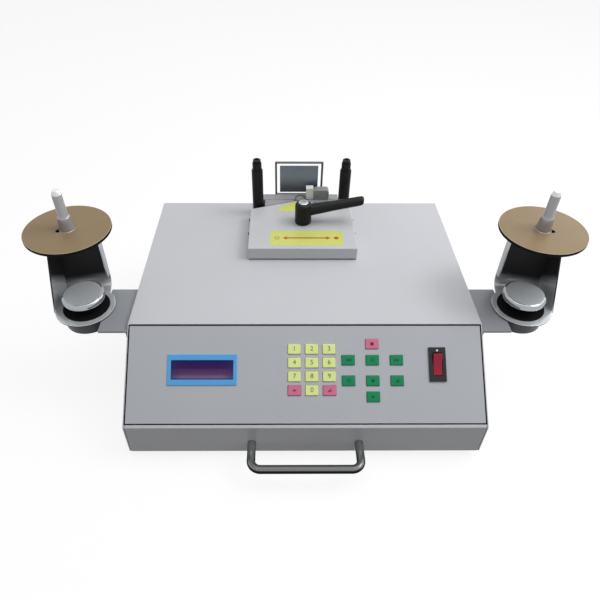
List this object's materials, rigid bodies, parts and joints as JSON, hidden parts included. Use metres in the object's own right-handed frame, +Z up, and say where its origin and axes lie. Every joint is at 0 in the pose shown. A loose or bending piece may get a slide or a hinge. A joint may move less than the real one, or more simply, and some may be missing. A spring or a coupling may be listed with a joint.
{
  "type": "component reel counter",
  "caption": "Bench machine with a sloped keypad panel, a front handle and a reel holder on each side, which winds carrier tape past a gated sensor and counts its pockets.",
  "frame": {"origin": "on the bench, under the middle of the machine's box", "axes": "+X to the right as the user sees it, +Y to the rear, +Z up; the panel and handle face -Y"},
  "size_m": [0.641, 0.4096, 0.2753],
  "materials": {
    "tray_paint": "fine powder coat, satin",
    "cover_paint": "fine powder coat, satin",
    "panel_paint": "fine powder coat, satin",
    "display_blue": "moulded, semi-gloss",
    "display_glass": "dark display glass",
    "circuit_board": "solder-masked laminate",
    "key_yellow": "moulded, satin",
    "key_red": "moulded, satin",
    "key_green": "moulded, satin",
    "switch_black": "moulded, semi-gloss",
    "rocker_red": "moulded, gloss",
    "handle_chrome": "polished",
    "foot_rubber": "matt",
    "screw_zinc": "zinc plated",
    "arm_paint": "powder coat, satin",
    "bracket_steel": "polished stainless sheet",
    "knob_metal": "bright turned cap on a short neck",
    "motor_black": "black motor case",
    "disc_board": "brown hardboard with dark edge",
    "spindle_metal": "turned, satin",
    "gate_paint": "fine powder coat, satin",
    "lever_black": "moulded, satin",
    "pin_black": "blackened steel",
    "roller_black": "turned plastic, satin",
    "guide_paint": "powder coat, satin",
    "frame_dark": "painted frame",
    "window_dark": "dark window pane",
    "sensor_grey": "moulded, satin",
    "prism_clear": "frosted clear plastic",
    "sprocket_steel": "machined",
    "supply_case": "sheet case",
    "inlet_black": "moulded, matt"
  },
  "bodies": {
    "chassis": {"base_tray": "tray_paint", "top_cover": "cover_paint", "control_panel": "panel_paint", "lcd_bezel": "display_blue", "lcd_glass": "display_glass", "lcd_board": "circuit_board", "keypad_board": "circuit_board", "switch_housing": "switch_black", "front_handle": "handle_chrome", "rubber_feet": "foot_rubber", "machine_screws": "screw_zinc", "arm_left": "arm_paint", "arm_right": "arm_paint", "gate_rail": "arm_paint", "guide_pins": "pin_black", "rear_guide": "guide_paint", "sensor_frame": "frame_dark", "sensor_window": "window_dark", "sensor_head": "sensor_grey", "sensor_prism": "prism_clear", "code_sensor": "switch_black", "main_board": "circuit_board", "power_supply": "supply_case", "power_inlet": "inlet_black"},
    "key_1": {"key_1": "key_yellow"},
    "key_2": {"key_2": "key_yellow"},
    "key_3": {"key_3": "key_yellow"},
    "key_4": {"key_4": "key_yellow"},
    "key_5": {"key_5": "key_yellow"},
    "key_6": {"key_6": "key_yellow"},
    "key_7": {"key_7": "key_yellow"},
    "key_8": {"key_8": "key_yellow"},
    "key_9": {"key_9": "key_yellow"},
    "key_clear": {"key_clear": "key_red"},
    "key_0": {"key_0": "key_yellow"},
    "key_enter": {"key_enter": "key_red"},
    "key_stop": {"key_stop": "key_red"},
    "key_rewind": {"key_rewind": "key_green"},
    "key_pause": {"key_pause": "key_green"},
    "key_wind": {"key_wind": "key_green"},
    "key_preset": {"key_preset": "key_green"},
    "key_mode": {"key_mode": "key_green"},
    "key_speed": {"key_speed": "key_green"},
    "key_start": {"key_start": "key_green"},
    "rocker": {"switch_rocker": "rocker_red"},
    "holder_left": {"bracket_left": "bracket_steel", "reel_motor_left": "motor_black"},
    "knob_left": {"clamp_knob_left": "knob_metal"},
    "reel_left": {"reel_disc_left": "disc_board", "spindle_left": "spindle_metal"},
    "roller_left": {"guide_roller_left": "roller_black"},
    "holder_right": {"bracket_right": "bracket_steel", "reel_motor_right": "motor_black"},
    "knob_right": {"clamp_knob_right": "knob_metal"},
    "reel_right": {"reel_disc_right": "disc_board", "spindle_right": "spindle_metal"},
    "roller_right": {"guide_roller_right": "roller_black"},
    "gate": {"gate_block": "gate_paint"},
    "lever": {"clamp_lever": "lever_black"},
    "sprocket": {"tape_sprocket": "sprocket_steel"}
  },
  "joints": [
    {"name": "key_1_press", "type": "slide", "parent": "chassis", "child": "key_1", "axis": [0, -0.6053, 0.796], "range_m": [-0.001, 0], "stiffness_N_per_m": 300, "springref_m": 0.001},
    {"name": "key_2_press", "type": "slide", "parent": "chassis", "child": "key_2", "axis": [0, -0.6053, 0.796], "range_m": [-0.001, 0], "stiffness_N_per_m": 300, "springref_m": 0.001},
    {"name": "key_3_press", "type": "slide", "parent": "chassis", "child": "key_3", "axis": [0, -0.6053, 0.796], "range_m": [-0.001, 0], "stiffness_N_per_m": 300, "springref_m": 0.001},
    {"name": "key_4_press", "type": "slide", "parent": "chassis", "child": "key_4", "axis": [0, -0.6053, 0.796], "range_m": [-0.001, 0], "stiffness_N_per_m": 300, "springref_m": 0.001},
    {"name": "key_5_press", "type": "slide", "parent": "chassis", "child": "key_5", "axis": [0, -0.6053, 0.796], "range_m": [-0.001, 0], "stiffness_N_per_m": 300, "springref_m": 0.001},
    {"name": "key_6_press", "type": "slide", "parent": "chassis", "child": "key_6", "axis": [0, -0.6053, 0.796], "range_m": [-0.001, 0], "stiffness_N_per_m": 300, "springref_m": 0.001},
    {"name": "key_7_press", "type": "slide", "parent": "chassis", "child": "key_7", "axis": [0, -0.6053, 0.796], "range_m": [-0.001, 0], "stiffness_N_per_m": 300, "springref_m": 0.001},
    {"name": "key_8_press", "type": "slide", "parent": "chassis", "child": "key_8", "axis": [0, -0.6053, 0.796], "range_m": [-0.001, 0], "stiffness_N_per_m": 300, "springref_m": 0.001},
    {"name": "key_9_press", "type": "slide", "parent": "chassis", "child": "key_9", "axis": [0, -0.6053, 0.796], "range_m": [-0.001, 0], "stiffness_N_per_m": 300, "springref_m": 0.001},
    {"name": "key_clear_press", "type": "slide", "parent": "chassis", "child": "key_clear", "axis": [0, -0.6053, 0.796], "range_m": [-0.001, 0], "stiffness_N_per_m": 300, "springref_m": 0.001},
    {"name": "key_0_press", "type": "slide", "parent": "chassis", "child": "key_0", "axis": [0, -0.6053, 0.796], "range_m": [-0.001, 0], "stiffness_N_per_m": 300, "springref_m": 0.001},
    {"name": "key_enter_press", "type": "slide", "parent": "chassis", "child": "key_enter", "axis": [0, -0.6053, 0.796], "range_m": [-0.001, 0], "stiffness_N_per_m": 300, "springref_m": 0.001},
    {"name": "key_stop_press", "type": "slide", "parent": "chassis", "child": "key_stop", "axis": [0, -0.6053, 0.796], "range_m": [-0.001, 0], "stiffness_N_per_m": 300, "springref_m": 0.001},
    {"name": "key_rewind_press", "type": "slide", "parent": "chassis", "child": "key_rewind", "axis": [0, -0.6053, 0.796], "range_m": [-0.001, 0], "stiffness_N_per_m": 300, "springref_m": 0.001},
    {"name": "key_pause_press", "type": "slide", "parent": "chassis", "child": "key_pause", "axis": [0, -0.6053, 0.796], "range_m": [-0.001, 0], "stiffness_N_per_m": 300, "springref_m": 0.001},
    {"name": "key_wind_press", "type": "slide", "parent": "chassis", "child": "key_wind", "axis": [0, -0.6053, 0.796], "range_m": [-0.001, 0], "stiffness_N_per_m": 300, "springref_m": 0.001},
    {"name": "key_preset_press", "type": "slide", "parent": "chassis", "child": "key_preset", "axis": [0, -0.6053, 0.796], "range_m": [-0.001, 0], "stiffness_N_per_m": 300, "springref_m": 0.001},
    {"name": "key_mode_press", "type": "slide", "parent": "chassis", "child": "key_mode", "axis": [0, -0.6053, 0.796], "range_m": [-0.001, 0], "stiffness_N_per_m": 300, "springref_m": 0.001},
    {"name": "key_speed_press", "type": "slide", "parent": "chassis", "child": "key_speed", "axis": [0, -0.6053, 0.796], "range_m": [-0.001, 0], "stiffness_N_per_m": 300, "springref_m": 0.001},
    {"name": "key_start_press", "type": "slide", "parent": "chassis", "child": "key_start", "axis": [0, -0.6053, 0.796], "range_m": [-0.001, 0], "stiffness_N_per_m": 300, "springref_m": 0.001},
    {"name": "rocker_tilt", "type": "hinge", "parent": "chassis", "child": "rocker", "pos_m": [0.1542, -0.10632, 0.10092], "axis": [1, 0, 0], "range_deg": [-18, 0]},
    {"name": "holder_left_swivel", "type": "hinge", "parent": "chassis", "child": "holder_left", "pos_m": [-0.2685, -0.03125, 0.1233], "axis": [0, 0, 1], "range_deg": [-30, 30]},
    {"name": "knob_left_turn", "type": "hinge", "parent": "chassis", "child": "knob_left", "pos_m": [-0.2685, -0.03125, 0.1233], "axis": [0, 0, 1], "range_deg": [0, 180]},
    {"name": "reel_left_spin", "type": "hinge", "parent": "holder_left", "child": "reel_left", "pos_m": [-0.2715, -0.01175, 0.2223], "axis": [0, 0, 1], "continuous": true},
    {"name": "roller_left_spin", "type": "hinge", "parent": "chassis", "child": "roller_left", "pos_m": [-0.063, 0.17225, 0.1295], "axis": [0, 0, 1], "continuous": true},
    {"name": "holder_right_swivel", "type": "hinge", "parent": "chassis", "child": "holder_right", "pos_m": [0.2685, -0.03125, 0.1233], "axis": [0, 0, 1], "range_deg": [-30, 30]},
    {"name": "knob_right_turn", "type": "hinge", "parent": "chassis", "child": "knob_right", "pos_m": [0.2685, -0.03125, 0.1233], "axis": [0, 0, 1], "range_deg": [0, 180]},
    {"name": "reel_right_spin", "type": "hinge", "parent": "holder_right", "child": "reel_right", "pos_m": [0.2715, -0.01175, 0.2223], "axis": [0, 0, 1], "continuous": true},
    {"name": "roller_right_spin", "type": "hinge", "parent": "chassis", "child": "roller_right", "pos_m": [0.063, 0.17225, 0.1295], "axis": [0, 0, 1], "continuous": true},
    {"name": "gate_slide", "type": "slide", "parent": "chassis", "child": "gate", "axis": [0, 1, 0], "range_m": [-0.025, 0]},
    {"name": "lever_swing", "type": "hinge", "parent": "gate", "child": "lever", "pos_m": [0.002, 0.12075, 0.1295], "axis": [0, 0, 1], "range_deg": [-165, 0]},
    {"name": "sprocket_spin", "type": "hinge", "parent": "chassis", "child": "sprocket", "pos_m": [0, 0.18885, 0.1295], "axis": [0, 0, 1], "continuous": true}
  ]
}
